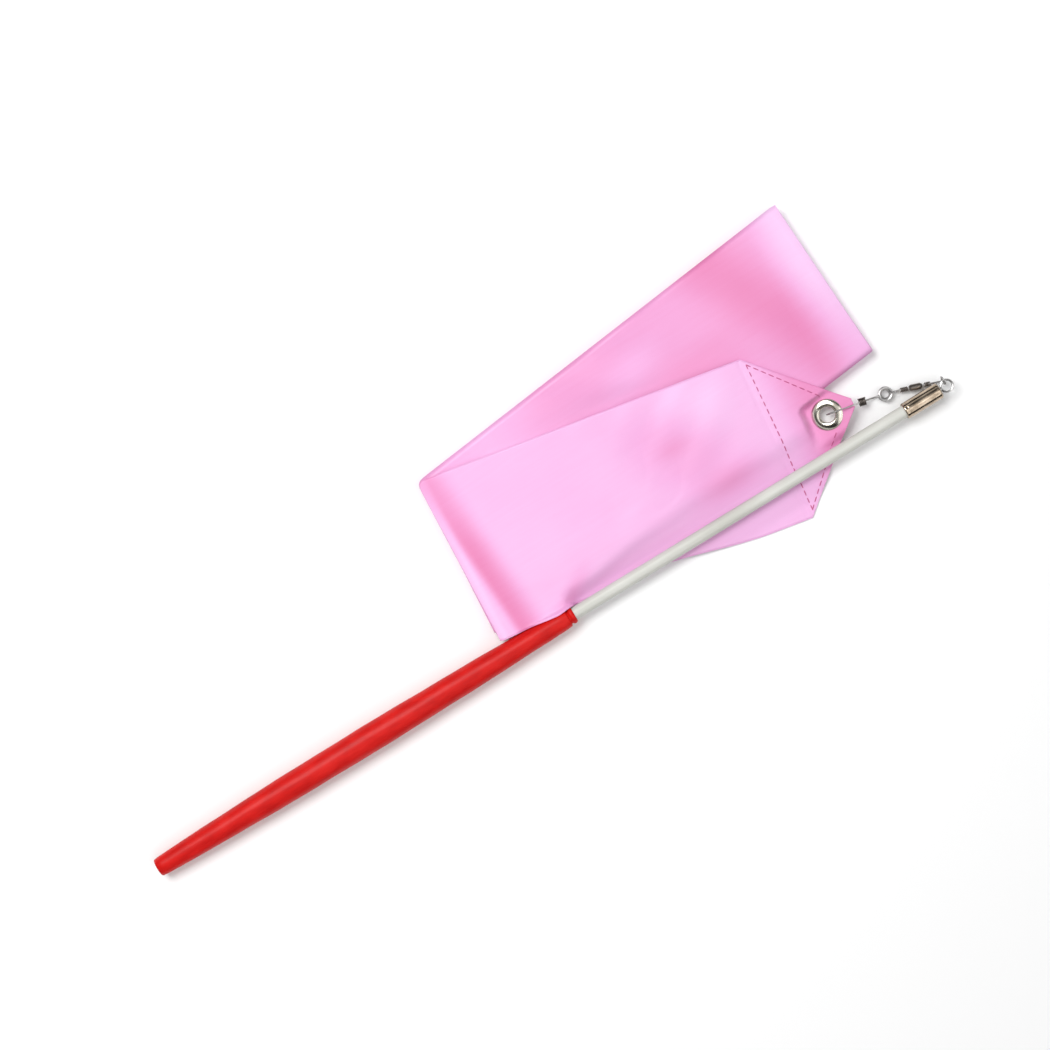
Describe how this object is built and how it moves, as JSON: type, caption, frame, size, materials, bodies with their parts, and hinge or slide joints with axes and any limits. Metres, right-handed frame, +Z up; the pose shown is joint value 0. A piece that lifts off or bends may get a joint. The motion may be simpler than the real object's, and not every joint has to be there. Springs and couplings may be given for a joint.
{
  "type": "rhythmic ribbon wand",
  "caption": "Gymnast's ribbon wand: slim rod in a soft tapered grip, with a swivel chain at its tip that carries a folded satin ribbon by an eyelet.",
  "frame": {"origin": "centre of the butt's flat end, on the wand's axis", "axes": "+X along the wand from butt to tip, +Y to the side that the ribbon lies on, +Z up from the surface that it lies on"},
  "size_m": [0.2677, 0.0823, 0.0082],
  "materials": {
    "grip_red": "glossy soft plastic",
    "rod_white": "satin, off-white",
    "nickel": "bright nickel plate",
    "steel_wire": "drawn wire",
    "dark_metal": "dark plated",
    "pink_satin": "satin weave"
  },
  "bodies": {
    "wand": {"grip": "grip_red", "butt_plug": "grip_red", "rod": "rod_white", "ferrule": "nickel", "ferrule_plug": "dark_metal"},
    "tip_eye_body": {"tip_eye": "steel_wire"},
    "jump_ring_body": {"jump_ring": "steel_wire"},
    "rear_eye_body": {"rear_eye": "steel_wire"},
    "barrel_body": {"swivel_barrel": "dark_metal"},
    "front_eye_body": {"front_eye": "steel_wire"},
    "split_ring_body": {"split_ring": "steel_wire"},
    "snap_body_group": {"snap_body": "steel_wire", "wound_neck": "dark_metal"},
    "snap_gate_body": {"snap_gate": "steel_wire"},
    "strand_body": {"ribbon_strand": "pink_satin", "eyelet": "nickel", "eyelet_washer": "nickel"},
    "pack_body": {"ribbon_pack": "pink_satin"}
  },
  "joints": [
    {"name": "tip_eye_turn", "type": "hinge", "parent": "wand", "child": "tip_eye_body", "pos_m": [0, 0, 0], "axis": [1, 0, 0], "continuous": true},
    {"name": "jump_ring_slide_round", "type": "hinge", "parent": "tip_eye_body", "child": "jump_ring_body", "pos_m": [0.2656, 0, 0], "axis": [0, 0, 1], "range_deg": [-190, 0]},
    {"name": "rear_eye_swing", "type": "hinge", "parent": "jump_ring_body", "child": "rear_eye_body", "pos_m": [0.2656, 0.00175, -0.00188], "axis": [0, 1, 0], "range_deg": [-90, 0]},
    {"name": "barrel_spin", "type": "hinge", "parent": "rear_eye_body", "child": "barrel_body", "pos_m": [0.25993, 0.0037, -0.00227], "axis": [-0.9452, 0.3255, -0.0262], "continuous": true},
    {"name": "swivel_turn", "type": "hinge", "parent": "rear_eye_body", "child": "front_eye_body", "pos_m": [0.25993, 0.0037, -0.00227], "axis": [-0.9452, 0.3255, -0.0262], "range_deg": [-120, 0]},
    {"name": "split_ring_swing", "type": "hinge", "parent": "front_eye_body", "child": "split_ring_body", "pos_m": [0.25114, 0.00673, -0.00251], "axis": [0, 0, 1], "range_deg": [-60, 0]},
    {"name": "snap_swing", "type": "hinge", "parent": "split_ring_body", "child": "snap_body_group", "pos_m": [0.24765, 0.00766, -0.00251], "axis": [0.2588, 0.9659, 0], "range_deg": [-60, 0]},
    {"name": "gate_open", "type": "hinge", "parent": "snap_body_group", "child": "snap_gate_body", "pos_m": [0.24155, 0.0089, 0.00035], "axis": [0.1979, 0.9802, 0], "range_deg": [0, 25], "stiffness_Nm_per_rad": 0.0002},
    {"name": "strand_turn", "type": "hinge", "parent": "snap_body_group", "child": "strand_body", "pos_m": [0.23204, 0.01081, -0.0006], "axis": [-0.2741, 0.0288, 0.9613], "range_deg": [-30, 0]},
    {"name": "ribbon_unfold", "type": "hinge", "parent": "strand_body", "child": "pack_body", "pos_m": [0.11957, 0.02995, 0.00097], "axis": [0.0628, 0.998, 0], "range_deg": [0, 170]}
  ]
}
